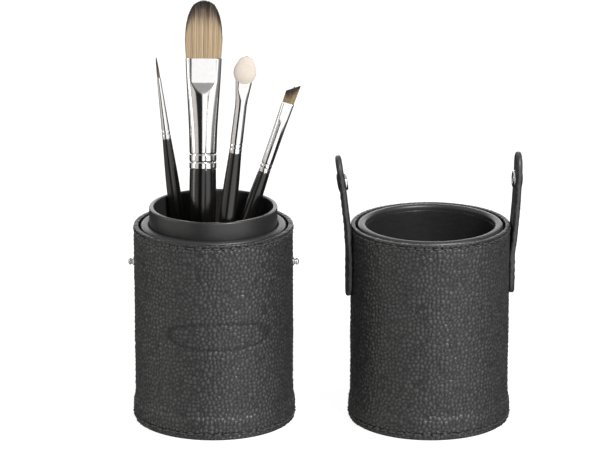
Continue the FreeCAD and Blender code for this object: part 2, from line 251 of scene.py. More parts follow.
# %% [markdown]
# ## Finishes
#
# Every finish is built from noise in the object's own coordinates, in metres, so a scale of 1000
# gives features of about a millimetre. The leather is the important one. Its pebbles are in the
# mesh, and the mesh stores how deep each point lies in a crease. The finish reads that: creases
# are painted darker than the tops, as painted shade, and duller; tops are a little worn and
# shinier, and fine pores go on as a bump.

# %% Finish helpers
def coordinates(tree):
    """The object's own coordinates, which move with it."""
    return node(tree, "ShaderNodeTexCoord").outputs["Object"]


def noise_at(tree, scale, detail=4.0, roughness=0.55, stretch=None):
    """Noise in object space. stretch scales the three axes to draw it out into streaks."""
    made = node(tree, "ShaderNodeTexNoise", _Scale=scale, _Detail=detail, _Roughness=roughness)
    where = coordinates(tree)
    if stretch:
        mapping = node(tree, "ShaderNodeMapping")
        mapping.inputs["Scale"].default_value = stretch
        tree.links.new(where, mapping.inputs["Vector"])
        where = mapping.outputs["Vector"]
    tree.links.new(where, made.inputs["Vector"])
    return made.outputs["Fac"]


def stored(tree, name):
    """A value that the mesh stores at each point."""
    return node(tree, "ShaderNodeAttribute", attribute_name=name).outputs["Fac"]


def bump(tree, shader, value, depth, strength=1.0):
    """Tilt the surface by a value, as if it stood this deep, in metres."""
    made = node(tree, "ShaderNodeBump", _Distance=depth, _Strength=strength)
    tree.links.new(value, made.inputs["Height"])
    tree.links.new(made.outputs["Normal"], shader.inputs["Normal"])

# %% [markdown]
# ### Leather
#
# Real leather is not one grey. Here the creases are painted darker than the tops, as painted
# shade, and handling polishes the tops, so one stored value drives colour, roughness and gloss
# together. Slow noise adds faint patches as on a hide, and small cells with fine noise over them
# are the pores. The straps use the same recipe with almost no pebble, because strap leather is
# split thinner and rolled smooth.

# %% Leather
def leather_finish(name, crease, top, dull, shiny, gloss=(0.25, 0.7)):
    """Leather: brightness in a crease and on top, roughness there, and the range of its gloss."""
    made, tree, shader = material(name)
    pebble = stored(tree, "pebble")
    patches = noise_at(tree, 60, 3)
    tone = combine(tree, "ADD", pebble, level(tree, patches, -0.14, 0.14))
    # Low stored values, in the creases, get the darker colour: this is painted shade.
    colour = ramp(tree, tone, (0.0, gray(crease)), (0.25, gray(crease + top / 6)),
                  (0.6, gray(0.8 * top)), (1.0, gray(top)))
    tree.links.new(colour, shader.inputs["Base Color"])
    worn = combine(tree, "ADD", tone, level(tree, noise_at(tree, 900, 2), -0.25, 0.25))
    tree.links.new(level(tree, worn, dull, shiny), shader.inputs["Roughness"])
    pores = node(tree, "ShaderNodeTexVoronoi", feature="DISTANCE_TO_EDGE", _Scale=1500.0)
    tree.links.new(coordinates(tree), pores.inputs["Vector"])
    fine = combine(tree, "MULTIPLY", level(tree, pores.outputs["Distance"], 0, 1, 0, 0.25), 0.5)
    fine = combine(tree, "ADD", fine, noise_at(tree, 2600, 4, 0.65))
    bump(tree, shader, fine, 0.00007, 0.6)
    tree.links.new(level(tree, tone, *gloss), shader.inputs["Specular IOR Level"])
    return made


pebbled_leather = leather_finish("pebbled_leather", 0.010, 0.028, 0.56, 0.38)
base_leather = leather_finish("base_leather", 0.012, 0.034, 0.9, 0.75, (0.02, 0.10))
strap_leather = leather_finish("strap_leather", 0.006, 0.060, 0.55, 0.40)
print("leathers:", pebbled_leather.name, base_leather.name, strap_leather.name)

# %% [markdown]
# ### Board, liner, felt, foam and thread
#
# These differ only in colour, in the size of their grain and in how dull they are, so one helper
# makes them all from one noise. The liner's noise is drawn out round the tube, as a rolled sheet
# is. Felt gets a little sheen, which is the light that stray fibres catch.

# %% Board, liner, felt, foam and thread
def simple_finish(name, dark, light, scale, rough, depth, warm=0.0, stretch=None, **sockets):
    """A finish from one noise. sockets are shader values that are the same all over."""
    made, tree, shader = material(name)
    value = noise_at(tree, scale, 4.0, 0.6, stretch)
    tree.links.new(ramp(tree, value, (0.3, gray(dark, warm)), (0.7, gray(light, warm))),
                   shader.inputs["Base Color"])
    tree.links.new(level(tree, value, *rough), shader.inputs["Roughness"])
    bump(tree, shader, value, depth, 0.5)
    for key, number in sockets.items():
        shader.inputs[key.replace("_", " ")].default_value = number
    return made


core_board = simple_finish(
    "core_board", 0.010, 0.024, 900, (0.36, 0.5), 0.00006, Specular_IOR_Level=0.55)
black_liner = simple_finish(
    "black_liner", 0.012, 0.020, 260, (0.30, 0.42), 0.00003, stretch=(1, 1, 6))
black_felt = simple_finish("black_felt", 0.006, 0.02, 2400, (0.9, 1.0), 0.0003, Sheen_Weight=0.4)
foam_sheet = simple_finish("foam_sheet", 0.03, 0.07, 1800, (0.9, 1.0), 0.0002)
black_thread = simple_finish("black_thread", 0.018, 0.05, 3000, (0.5, 0.7), 0.00005)
print("finishes so far:", len(bpy.data.materials))

# %% [markdown]
# ### Metal, lacquer and sponge
#
# Plated metal is a mirror with a little haze, so its noise moves only the roughness and the
# faintest ripple. Black lacquer is the opposite: almost no colour, and a thin clear coat for the
# gloss. The sponge scatters light inside, and a small subsurface weight keeps it soft.

# %% Metal, lacquer and sponge
nickel = simple_finish("nickel", 0.72, 0.80, 500, (0.07, 0.15), 0.000004, 0.012, Metallic=1.0)
steel = simple_finish("steel", 0.35, 0.5, 1500, (0.28, 0.42), 0.00001, Metallic=1.0)
black_enamel = simple_finish(
    "black_enamel", 0.012, 0.02, 1200, (0.25, 0.38), 0.00001, Coat_Weight=0.4)
black_lacquer = simple_finish(
    "black_lacquer", 0.002, 0.004, 300, (0.17, 0.25), 0.00001, 0.12, (1, 1, 0.15),
    Specular_IOR_Level=0.62, Coat_Weight=0.12, Coat_Roughness=0.2)
ivory_sponge = simple_finish(
    "ivory_sponge", 0.40, 0.50, 2200, (0.85, 1.0), 0.00012, 0.13,
    Subsurface_Weight=0.08, Subsurface_Radius=(0.002, 0.0015, 0.001))
print("finishes so far:", len(bpy.data.materials))

# %% [markdown]
# ### Hair
#
# Each head is two-tone: pale at the ferrule, dark at the tips. The tips don't end on one line, so
# the colour can't follow height. It follows a value that each hair carries along its own length,
# shifted a little from hair to hair.

# %% Hair finishes
def hair_finish(name, root, middle, tip):
    """Hair: the mesh stores how near each point is to its hair's tip, and a tone for each hair."""
    made, tree, shader = material(name)
    near_tip = stored(tree, "near_tip")
    tone = stored(tree, "tone")
    streak = combine(tree, "ADD", near_tip, level(tree, tone, -0.16, 0.16))
    colour = ramp(tree, streak, (0.0, root), (0.36, middle), (0.66, tip),
                  (0.85, gray(0.03, 0.35)), (1.0, gray(0.014, 0.3)))
    blend = node(tree, "ShaderNodeMix", data_type="RGBA", blend_type="MULTIPLY", _Factor=1.0)
    tree.links.new(colour, blend.inputs["A"])
    tree.links.new(ramp(tree, tone, (0.0, gray(0.55)), (0.5, gray(0.9)), (1.0, gray(1.25))),
                   blend.inputs["B"])
    tree.links.new(blend.outputs["Result"], shader.inputs["Base Color"])
    tree.links.new(level(tree, tone, 0.38, 0.6), shader.inputs["Roughness"])
    bump(tree, shader, noise_at(tree, 5000, 2), 0.00001, 0.3)
    return made


tan_hair = hair_finish("tan_hair", (0.46, 0.35, 0.22), (0.36, 0.27, 0.17), (0.10, 0.062, 0.042))
brown_hair = hair_finish(
    "brown_hair", (0.26, 0.20, 0.10), (0.15, 0.10, 0.055), (0.035, 0.02, 0.015))
liner_hair = hair_finish(
    "liner_hair", (0.17, 0.13, 0.10), (0.05, 0.035, 0.03), (0.01, 0.008, 0.008))
print("finishes:", len(bpy.data.materials))

# %% [markdown]
# ## Making meshes from rows of points
#
# Nearly everything here is turned or drawn out: a wall, a tube, a handle, a ferrule. All can be
# made as rows of points with a face between each four neighbours. It is more direct than
# modelling by hand, and a stitch hole can be pressed into the wall by moving points.

# %% Mesh helpers
def full_turn(count):
    """This many angles, evenly round."""
    return np.linspace(0, 2 * np.pi, count, endpoint=False)


def grid_faces(rows, cols, loop_rows=False, start=0):
    """Faces between rows of points that each close on themselves."""
    i = np.arange(rows if loop_rows else rows - 1)
    j = np.arange(cols)
    a, b = np.meshgrid(i, j, indexing="ij")
    a2, b2 = (a + 1) % rows, (b + 1) % cols
    quads = np.stack([a * cols + b, a * cols + b2, a2 * cols + b2, a2 * cols + b], -1)
    return (quads.reshape(-1, 4) + start).tolist()


def make_piece(name, points, faces, body, finish, nodes=(), sharp=50, values=None, slot=None):
    """A finished piece from points in millimetres. It rides on a body and replaces CAD nodes.

    slot is not used.
    """
    mesh = bpy.data.meshes.new(name)
    mesh.from_pydata((np.asarray(points, float) * MM).tolist(), [], faces)
    for key, numbers in (values or {}).items():
        stored_values = mesh.attributes.new(key, "FLOAT", "POINT")
        stored_values.data.foreach_set("value", np.asarray(numbers, np.float32).ravel())
    shape = bmesh.new()
    shape.from_mesh(mesh)
    bmesh.ops.remove_doubles(shape, verts=shape.verts, dist=1e-7)
    bmesh.ops.dissolve_degenerate(shape, edges=shape.edges, dist=1e-8)
    bmesh.ops.recalc_face_normals(shape, faces=shape.faces)
    shape.to_mesh(mesh)
    shape.free()
    mesh.shade_smooth()
    mesh.set_sharp_from_angle(angle=math.radians(sharp))
    mesh.materials.append(finish)
    made = bpy.data.objects.new(name, mesh)
    bpy.context.scene.collection.objects.link(made)
    if body:
        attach(made, body)
    if nodes:
        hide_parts(*nodes)
    print(name, len(mesh.vertices), "points")
    return made


print("a tube of 3 rows by 4 sides has", len(grid_faces(3, 4)), "faces")

# %% [markdown]
# ### Turned outlines
#
# A lathe works from an outline of radius and height, and so does this. Few real corners are
# sharp, so an outline's corners can carry a rounding, which catches the light as a real edge
# does.

# %% Turned outlines
def rounded_line(corners, steps=5):
    """A polyline of (r, z, rounding) with each corner rounded by that much."""
    corners = [(*c, 0.0)[:3] for c in corners]
    line = []
    for index, (r, z, size) in enumerate(corners):
        if size == 0 or index in (0, len(corners) - 1):
            line.append((r, z))
            continue
        here = np.array((r, z))
        back = np.array(corners[index - 1][:2]) - here
        ahead = np.array(corners[index + 1][:2]) - here
        enter = here + back / np.linalg.norm(back) * size
        leave = here + ahead / np.linalg.norm(ahead) * size
        for t in np.linspace(0, 1, steps):
            line.append(tuple((1 - t) ** 2 * enter + 2 * t * (1 - t) * here + t * t * leave))
    return line


def turned_points(line, sides, centre=(0, 0)):
    """Rows of points from a turned outline of (radius, height), about an upright axis."""
    line = np.array(line, float)
    around = full_turn(sides)
    x = centre[0] + line[:, :1] * np.cos(around)
    y = centre[1] + line[:, :1] * np.sin(around)
    z = np.repeat(line[:, 1:], sides, 1)
    return np.stack([x, y, z], -1)


def turned_piece(name, line, sides, centre, closed, *rest, **more):
    """A turned piece. closed says that the outline is a ring, as on a tube."""
    points = turned_points(line, sides, centre)
    faces = grid_faces(len(line), sides, closed)
    return make_piece(name, points.reshape(-1, 3), faces, *rest, **more)


def size_of(name):
    """A CAD node's lowest and highest corner, in millimetres."""
    low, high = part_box(name)
    return np.array(low) / MM, np.array(high) / MM


print("the cup's leather spans", [corner.round(1).tolist() for corner in size_of("cup_leather")])

# %% [markdown]
# ## The covered shells
#
# Cup and lid are the same shell: one strip of pebbled leather wrapped round foam and a board
# tube, turned in at the rim and drawn over the base. A plain tube with a bumpy finish would
# keep a dead straight outline, so the pebbles are pressed into the mesh. The rows of stitches
# pull the leather in, and each hole is a small dimple. At the back the strip's ends lap over
# each other, and the seam's stitches run up the middle of the lap.

# %% Measure the shells
lid_centre = tuple(((size_of("lid_leather")[0] + size_of("lid_leather")[1]) / 2)[:2])
cup_low, cup_high = size_of("cup_leather")
rim_z = cup_high[2]
foot_z = cup_low[2]
bulge_radius = cup_high[0]
WALL = 40.0
LEATHER = 1.25
HEM_DEPTH = 9.0
RIM_STITCH_Z = rim_z - 2.2
BASE_STITCH_Z = 3.3
STITCHES = 56
PITCH_ANGLE = 2 * math.pi / STITCHES
SEAM_LOW, SEAM_PITCH = 22.8, 4.5
PEBBLE = 2.1
SHELLS = (("cup", (0, 0)), ("lid", lid_centre))
print("shell:", round(rim_z, 2), "high, radius at the base", round(bulge_radius, 2))

# %% [markdown]
# ### The wrap's outline and its pebbles
#
# The outline runs up the outside, over the rim and down inside, with its points close together
# where the stitches press in. The pebbles come from a jittered grid of middles: each point looks
# for its two nearest middles, and where both are equally far there is a crease. Counting the
# grid in whole pebbles round the shell makes the pattern meet itself without a seam.

# %% Outline and pebbles
def outside_line():
    """Outline of the wrap's outside, from the floor up, close-set where the stitches are."""
    heights = [foot_z]
    while heights[-1] < rim_z - 1.1:
        near = min(abs(heights[-1] - RIM_STITCH_Z), abs(heights[-1] - BASE_STITCH_Z)) < 1.6
        heights.append(heights[-1] + (0.32 if near else 0.58))
    line = []
    for z in heights:
        swell = 1 / (1 + math.exp((z - 11.2) / 0.75))
        tuck = 0.55 * max(0.0, 1 - (z - foot_z) / 1.6) ** 2
        line.append((WALL + (bulge_radius - WALL) * swell - tuck, z))
    return line


def pebble_height(across, up, columns, seed):
    """0 in a crease and 1 on top of a pebble, at places counted in pebbles across and up."""
    picks = np.random.default_rng(seed)
    rows = int(up.max()) + 6
    middle_x = picks.random((rows, columns)) * 0.9
    middle_y = picks.random((rows, columns)) * 0.9
    i, j = np.floor(across).astype(int), np.floor(up).astype(int)
    first = np.full(len(across), 9.0)
    second = first.copy()
    for di in range(-2, 3):
        for dj in range(-2, 3):
            a, b = (i + di) % columns, j + dj + 2
            gap = np.hypot(i + di + middle_x[b, a] - across, j + dj + middle_y[b, a] - up)
            second = np.minimum(second, np.maximum(first, gap))
            first = np.minimum(first, gap)
    return np.clip((second - first) / 0.62, 0, 1) ** 0.8


def bell(distance, width):
    """1 at no distance, falling softly to 0 over about two widths."""
    return np.exp(-(distance / width) ** 2)


print("outline of the outside:", len(outside_line()), "points; pebbles", PEBBLE, "mm apart")

# %% [markdown]
# ### The wrap
#
# Every point of the wrap gets a lift, in or out along the radius, and the lifts are simply added:
# the pebbles, a slow wave as padded leather has, the channels and holes of the stitches, and the
# lap at the back. On the cup's front a plain oval is pressed in. The mesh also keeps the pebble
# value, for the finish. The value is lowered in the stitch holes and in the oval's groove, which
# paints shade into them.

# %% Leather wrap
def leather_wrap(name, centre, mark):
    """One shell's leather. mark presses the plain oval into its front."""
    outer = outside_line()
    inner_r = WALL - LEATHER
    hem_r = inner_r - LEATHER
    rim = rounded_line([
        (outer[-1][0], rim_z - 1.05), (WALL, rim_z, 1.0), (hem_r, rim_z, 1.0),
        (hem_r, rim_z - 1.05)], 7)[1:]
    inside = [
        (hem_r, rim_z - 3), (hem_r, rim_z - 6), (hem_r, rim_z - HEM_DEPTH),
        (inner_r, rim_z - HEM_DEPTH), (inner_r, 50), (inner_r, 13),
        (inner_r + 0.95, 9), (inner_r + 0.95, foot_z),
    ]
    line = np.array(outer + rim + inside)
    sides = STITCHES * 9
    points = turned_points(line, sides).reshape(-1, 3)
    rows = len(line)
    detailed = len(outer) + len(rim)
    around = np.tile(full_turn(sides), rows)
    z = points[:, 2]
    outside = np.repeat(np.arange(rows) < detailed, sides)
    pebble = np.full(len(points), 0.6)
    columns = round(2 * math.pi * WALL / PEBBLE)
    pebble[outside] = pebble_height(
        around[outside] / (2 * math.pi) * columns, z[outside] / PEBBLE, columns, 3 if mark else 4)
    lift = 0.62 * (pebble - 0.92) * np.clip((rim_z - z) / 1.6, 0.35, 1)
    lift[outside] += [0.16 * noise.noise(Vector(p) * 0.055) for p in points[outside]]
    step = (around / PITCH_ANGLE) % 1.0
    away = np.minimum(step, 1 - step) * PITCH_ANGLE * WALL
    for stitch_z in (RIM_STITCH_Z, BASE_STITCH_Z):
        lift -= 0.16 * bell(z - stitch_z, 0.9)
        hole = bell(np.hypot(away, z - stitch_z), 0.62)
        lift -= 0.55 * hole
        # Each stitch hole also lowers the pebble value, which paints shade into the hole.
        pebble *= 1 - 0.95 * np.clip(hole * 1.3, 0, 1)
    back = ((around + math.pi / 2) % (2 * math.pi) - math.pi) * WALL
    lap = np.clip((back + 3.2) / 0.5, 0, 1) * np.clip((12 - back) / 10, 0, 1)
    lift += 0.45 * lap * np.clip((rim_z - 2.8 - z) / 2, 0, 1)
    for seam_z in np.arange(SEAM_LOW, rim_z - 11, SEAM_PITCH):
        lift -= 0.45 * bell(np.hypot(back, z - seam_z), 0.6)
    lift -= 0.22 * bell(back, 0.6) * np.clip((z - 14) / 3, 0, 1) * np.clip((88 - z) / 3, 0, 1)
    if mark:
        front = ((around - math.pi / 2) % (2 * math.pi) - math.pi) * WALL - 4.0
        reach = (np.abs(front / 27) ** 2.4 + np.abs((z - 53.5) / 6.6) ** 2.4) ** (1 / 2.4)
        pressed = bell((reach - 1) * 7.5, 0.62)
        lift -= 0.34 * pressed
        # The oval's groove lowers the pebble value too, which paints shade into the groove.
        pebble *= 1 - 0.75 * pressed
    lift[~outside] = 0
    facing = np.clip(rim_z - z, 0, 1)
    inner_side = np.hypot(points[:, 0], points[:, 1]) < hem_r + LEATHER
    turned_lift = lift * np.where(inner_side, -1.0, 1.0) * facing
    points[:, 0] += np.cos(around) * turned_lift + centre[0]
    points[:, 1] += np.sin(around) * turned_lift + centre[1]
    points[:, 2] -= np.clip(0.12 - lift, 0, 1) * (1 - facing) * outside
    make_piece(name + "_leather_wrap", points, grid_faces(rows, sides, True), name,
               pebbled_leather, [name + "_leather"], 60, {"pebble": pebble})


for shell, centre in SHELLS:
    leather_wrap(shell, centre, shell == "cup")

# %% [markdown]
# ## The thread
#
# Each stitch is a short length of two-ply thread that comes up out of one hole, arches over the
# leather and goes down the next. It is a thin tube whose section is two lobes that turn as they
# go, which gives the twist. One mesh holds a whole row.

# %% Thread
def stitch_tube(start, end, up, radius=0.36, rise=0.25, steps=9, sides=8):
    """Points of one stitch between two holes. up is the way it arches."""
    start, end, up = (np.array(v, float) for v in (start, end, up))
    along = (end - start) / np.linalg.norm(end - start)
    across = np.cross(along, up)
    turn = full_turn(sides)
    round_it = np.outer(np.cos(turn), across) + np.outer(np.sin(turn), up)
    rows = []
    for t in np.linspace(0, 1, steps):
        arch = rise * math.sin(math.pi * t) - 0.45 * (abs(2 * t - 1) ** 6)
        lobe = radius * (1 + 0.22 * np.cos(2 * (turn + t * 5.5))) * (1 - 0.45 * abs(2 * t - 1) ** 4)
        rows.append(start + (end - start) * t + up * arch + lobe[:, None] * round_it)
    return np.concatenate(rows), steps, sides


def stitch_row(name, stitches, body, node_name):
    """One mesh of many stitches, each given as start, end and up."""
    points, faces, count = [], [], 0
    for start, end, up in stitches:
        made, steps, sides = stitch_tube(start, end, up)
        points.append(made)
        faces += grid_faces(steps, sides, start=count)
        for first in (count, count + (steps - 1) * sides):
            faces.append(list(range(first, first + sides)))
        count += len(made)
    make_piece(name, np.concatenate(points), faces, body, black_thread, [node_name], 60)


def ring_of_stitches(radius, z, centre):
    """Start, end and up of each stitch of a row round a shell."""
    for index in range(STITCHES):
        a, b = (index + 0.06) * PITCH_ANGLE, (index + 0.94) * PITCH_ANGLE
        first = (centre[0] + radius * math.cos(a), centre[1] + radius * math.sin(a), z)
        last = (centre[0] + radius * math.cos(b), centre[1] + radius * math.sin(b), z)
        yield first, last, (math.cos((a + b) / 2), math.sin((a + b) / 2), 0)


for shell, centre in SHELLS:
    for where, radius, z in (("rim", WALL, RIM_STITCH_Z), ("base", bulge_radius, BASE_STITCH_Z)):
        stitch_row(f"{shell}_{where}_thread", ring_of_stitches(radius - 0.22, z, centre),
                   shell, f"{shell}_{where}_stitches")
    x, y = centre[0], centre[1] + WALL + 0.18
    upright = [((x, y, low + 0.3), (x, y, low + 4.2), (0, 1, 0))
               for low in np.arange(SEAM_LOW, rim_z - 15.5, SEAM_PITCH)]
    stitch_row(f"{shell}_seam_thread", upright, shell, f"{shell}_seam_stitches")

# %% [markdown]
# ## The tubes inside and the base
#
# Inside the turned-in leather stands a thick board tube, and its smooth end shows as a pale ring.
# The liner is a thinner black tube. In the cup it stands above the ring, as the spigot that the
# lid slides over. Their ends are rounded over by a press, so both get soft corners. The base is
# a disc of the same leather turned up inside the wrap. It slides on tables, so its pebbles are
# pressed flatter and rubbed dull, and it has a finish of its own with hardly any gloss.

# %% Board tube and liner
def ring_line(inner, outer, low, high, inner_round, outer_round, below=None, lip=3.0):
    """Closed outline of a tube with a rounded upper end. below is its wider bore under the lip."""
    below = inner if below is None else below
    return rounded_line([
        (below, low), (outer, low), (outer, low + 1), (outer, high - 4),
        (outer, high, outer_round), (inner, high, inner_round), (inner, high - lip),
        (below, high - lip), (below, low + 1),
    ], 8)


def span_of(name):
    """A round CAD node's radius, lowest and highest point."""
    low, high = size_of(name)
    return (high[0] - low[0]) / 2, low[2], high[2]


def board_and_liner(shell, centre):
    """The tube inside the leather and the liner in it. The cup's liner is the thicker one."""
    liner_node, wall, round_in, round_out = {
        "cup": ("cup_liner_tube", 2.3, 1.0, 0.9), "lid": ("lid_lining_tube", 0.8, 0.3, 0.3)}[shell]
    board_r, board_low, board_high = span_of(shell + "_core_tube")
    liner_r, liner_low, liner_high = span_of(liner_node)
    mouth = liner_r if shell == "cup" else liner_r - wall
    board = ring_line(mouth + 0.02, board_r, board_low, board_high, 1.8, 2.3, liner_r + 0.02)
    turned_piece(shell + "_board_tube", board, 192, centre, True, shell, core_board,
                 [shell + "_core_tube"], sharp=70)
    liner = ring_line(liner_r - wall, liner_r, liner_low, liner_high, round_in, round_out)
    turned_piece(shell + "_liner", liner, 192, centre, True, shell, black_liner,
                 [liner_node], sharp=70)


print("board tube:", [round(float(size), 2) for size in span_of("cup_core_tube")])

# %% [markdown]
# ### Felt, foam and the base leather
#
# The felt is a thin disc with a soft edge, and the foam fills the gap between board and leather,
# held tight all round. The base leather is turned like a dish. Its underside is a fine grid of
# rings, so that it can carry the same pebbles as the wrap.

# %% Felt, foam and base leather
def felt_and_foam(shell, centre):
    """The disc that things stand on, and the sheet under the leather."""
    felt_r, low, high = span_of(shell + "_floor_felt")
    turned_piece(
        shell + "_felt",
        rounded_line([(0, low), (felt_r, low), (felt_r, high, 0.5), (felt_r / 2, high - 0.05),
                      (0, high)]),
        96, centre, False, shell, black_felt, [shell + "_floor_felt"])
    inner, outer = span_of(shell + "_core_tube")[0] + 0.05, WALL - LEATHER - 0.05
    low, high = span_of(shell + "_foam_padding")[1:]
    foam = turned_piece(
        shell + "_foam",
        rounded_line([(inner, low), (outer, low), (outer, high, 0.4), (inner, high - 0.3, 0.4)]),
        128, centre, True, shell, foam_sheet, [shell + "_foam_padding"])


def base_disc(shell, centre, sides=300):
    """The leather under the shell, turned up inside the wrap, with pebbles on its underside."""
    radius = size_of(shell + "_base_cover")[1][0] - centre[0]
    line = [(r, 0) for r in np.arange(0, radius - 0.6, 0.55)]
    grained = len(line) * sides
    line += rounded_line([(radius - 0.6, 0), (radius, 0, 0.5), (radius, 9), (radius - 0.95, 9),
                          (radius - 0.95, LEATHER), (0, LEATHER)])
    points = turned_points(line, sides).reshape(-1, 3)
    across, up = (points[:grained, axis] / PEBBLE + 25 for axis in (0, 1))
    pebble = np.full(len(points), 0.5)
    pebble[:grained] = pebble_height(across, up, 60, 5 if shell == "cup" else 6)
    points[:grained, 2] += 0.35 * (1 - pebble[:grained])
    points[:, :2] += centre
    make_piece(shell + "_base_leather", points, grid_faces(len(line), sides), shell, base_leather,
               [shell + "_base_cover"], 50, {"pebble": pebble}, "pebbled_leather")


def refinish(node_name, finish):
    """Give a CAD node that stays a finish from here."""
    node_mesh = frame["nodes"][node_name].data
    node_mesh.materials.clear()
    node_mesh.materials.append(finish)


for shell, centre in SHELLS:
    board_and_liner(shell, centre)
    felt_and_foam(shell, centre)
    base_disc(shell, centre)
    refinish(shell + "_base_board", core_board)

# %% [markdown]
# ## The straps
#
# A strap is two layers of smooth leather sewn together. Below the lid's rim it is sewn to the
# wall and follows its curve; above that it stands free and is flat. Real leather doesn't break at
# a hinge, so each layer is one mesh from end to end. A layer is made from outlines set one inside
# the other, like contour lines, which gives a round edge all the way round. The flat shape is then
# bent over the strap's own line.

# %% Strap shape
STRAP_HALF = 7.5
LAYER = 1.45
STRAP_FOOT = 64.5
STRAP_LENGTH = 73.0
SEAM_INSET = 2.2
LEANS = {
    "left": ((86.2, 0), (92, 1), (97, 3.2), (101, 6.6), (118, 6.8), (122, 9.2), (128, 9.4),
             (132, 7)),
    "right": ((86.2, 0), (88.5, 4.8), (98, 4.8), (109, 4.4), (112, 2.7), (126, 2.6), (129, 0.5)),
}
FLEX = {hand: next(j for j in frame["joints"] if j["name"] == hand + "_strap_flex")
        for hand in ("left", "right")}
SIDEWAYS = {}
for hand, joint in FLEX.items():
    away = np.array(joint["pos_m"][:2]) / MM - np.array(lid_centre)
    away /= np.linalg.norm(away)
    SIDEWAYS[hand] = (away, np.array((-away[1], away[0])))


def beside_lid(hand, x, y, z):
    """Points of a strap drawn on the +X side of the lid, turned round to their own side."""
    away, round_about = SIDEWAYS[hand]
    flat = np.multiply.outer(x, away) + np.multiply.outer(y, round_about) + np.array(lid_centre)
    return np.concatenate([flat, np.asarray(z, float)[..., None]], -1)


def strap_path(hand):
    """Middle line of a strap on the +X side: distance from the foot, radius, height and lean."""
    step = 0.25
    heights, leans = zip(*LEANS[hand])
    r, z, along, rows = WALL + LAYER - 0.3, STRAP_FOOT, 0.0, []
    while along <= STRAP_LENGTH + step:
        lean = math.radians(np.interp(z, heights, leans))
        rows.append((along, r, z, lean))
        r += step * math.sin(lean)
        z += step * math.cos(lean)
        along += step
    return np.array(rows)


def on_strap(hand, along, across, out):
    """A point of the strap, from its distance up the strap, across it and out from its middle."""
    path = strap_path(hand)
    along = np.asarray(along, float)
    r = np.interp(along, path[:, 0], path[:, 1])
    z = np.interp(along, path[:, 0], path[:, 2])
    lean = np.interp(along, path[:, 0], path[:, 3])
    flat_x = r + out * np.cos(lean)
    flat_z = z - out * np.sin(lean)
    curve = np.clip((94 - z) / 10, 0, 1)
    curve = curve * curve * (3 - 2 * curve)
    bent = across / r
    round_x = (r + out) * np.cos(bent)
    round_y = (r + out) * np.sin(bent)
    x = curve * round_x + (1 - curve) * flat_x
    y = curve * round_y + (1 - curve) * across
    return beside_lid(hand, x, y, flat_z)


def stadium(half):
    """Outline of the strap with this half width, as (distance up it, across)."""
    up = np.linspace(STRAP_HALF, STRAP_LENGTH - STRAP_HALF, 96)
    turn = np.linspace(0, np.pi, 20)[1:-1]
    top = STRAP_LENGTH - STRAP_HALF
    return np.concatenate([
        np.stack([up, np.full_like(up, half)], -1),
        np.stack([top + half * np.sin(turn), half * np.cos(turn)], -1),
        np.stack([up[::-1], np.full_like(up, -half)], -1),
        np.stack([STRAP_HALF - half * np.sin(turn), -half * np.cos(turn)], -1),
    ])


print("straps lean", {hand: LEANS[hand][-2][1] for hand in FLEX}, "degrees near the tip")

# %% [markdown]
# ### Strap layers and thread
#
# Near the edge the outlines lie close together, and there each one drops a little further, which
# rolls the edge over. Where the two layers meet on the edge, the stored value is raised, which
# paints a highlight along that line. Two rows of stitches lie in a shallow groove on the face. The
# stitches on the sewn foot ride with the lid and the others with the strap.

# %% Strap layers and thread
def strap_layer(hand, which):
    """The backing or the face of a strap, from its sewn foot to its tip."""
    low, high = (-LAYER, -0.03) if which == "backing" else (0.03, LAYER)
    outer_side = which == "face"
    insets = [7.5, 6.4, 5.3, 4.2, 3.2, 2.65, 2.2, 1.75, 1.2, 0.85, 0.55, 0.3, 0.12, 0.02, 0.0]
    outer_drop = [0] * 8 + [0.03, 0.10, 0.22, 0.40, 0.65, 0.95, 1.2]
    inner_drop = [0] * 12 + [0.02, 0.07, 0.16]
    low_drop, high_drop = (inner_drop, outer_drop) if outer_side else (outer_drop, inner_drop)
    rings = [(inset, low + drop) for inset, drop in zip(insets, low_drop)]
    rings += [(inset, high - drop) for inset, drop in zip(insets[::-1], high_drop[::-1])]
    points, pebble = [], []
    for inset, out in rings:
        flat = stadium(max(STRAP_HALF - inset, 0.001))
        out = np.full(len(flat), out)
        outer_face = (out > 0.8 if outer_side else out < -0.8) & (inset > 0.1)
        grainy = np.array([noise.noise(Vector((a * 0.5, b * 0.5, 3.0 if outer_side else 9.0)))
                           for a, b in flat])
        if outer_face.any():
            groove = 0.22 * bell(inset - SEAM_INSET, 0.4)
            drop = groove + 0.05 * np.maximum(grainy, -0.5)
            out = out - drop if outer_side else out + drop
        points.append(on_strap(hand, flat[:, 0], flat[:, 1], out))
        # Raised where the layers meet on the edge: a painted highlight along that line.
        seam = bell(inset, 0.25) * bell(out, 0.3)
        pebble.append(np.clip(0.25 + 0.3 * grainy + 0.9 * seam, 0, 1))
    made = make_piece(
        f"{hand}_strap_{which}_layer", np.concatenate(points), grid_faces(len(rings), len(flat)),
        None, strap_leather, (), 50, {"pebble": np.concatenate(pebble)})
    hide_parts(f"{hand}_strap_anchor_{which}", f"{hand}_strap_{which}")
    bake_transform(made)


def strap_thread(hand, low, high, body, node_name):
    """Two rows of stitches on the strap's face, between two distances up it."""
    stitches = []
    for across in (SEAM_INSET - STRAP_HALF, STRAP_HALF - SEAM_INSET):
        for start in np.arange(low, high - 3.6, 4.1):
            first = on_strap(hand, start, across, LAYER - 0.42)
            last = on_strap(hand, start + 3.4, across, LAYER - 0.42)
            above = on_strap(hand, start + 1.7, across, LAYER + 1)
            below = on_strap(hand, start + 1.7, across, LAYER)
            up = (above - below) / np.linalg.norm(above - below)
            stitches.append((first, last, up))
    stitch_row(f"{hand}_{body}_strap_thread", stitches, body, node_name)


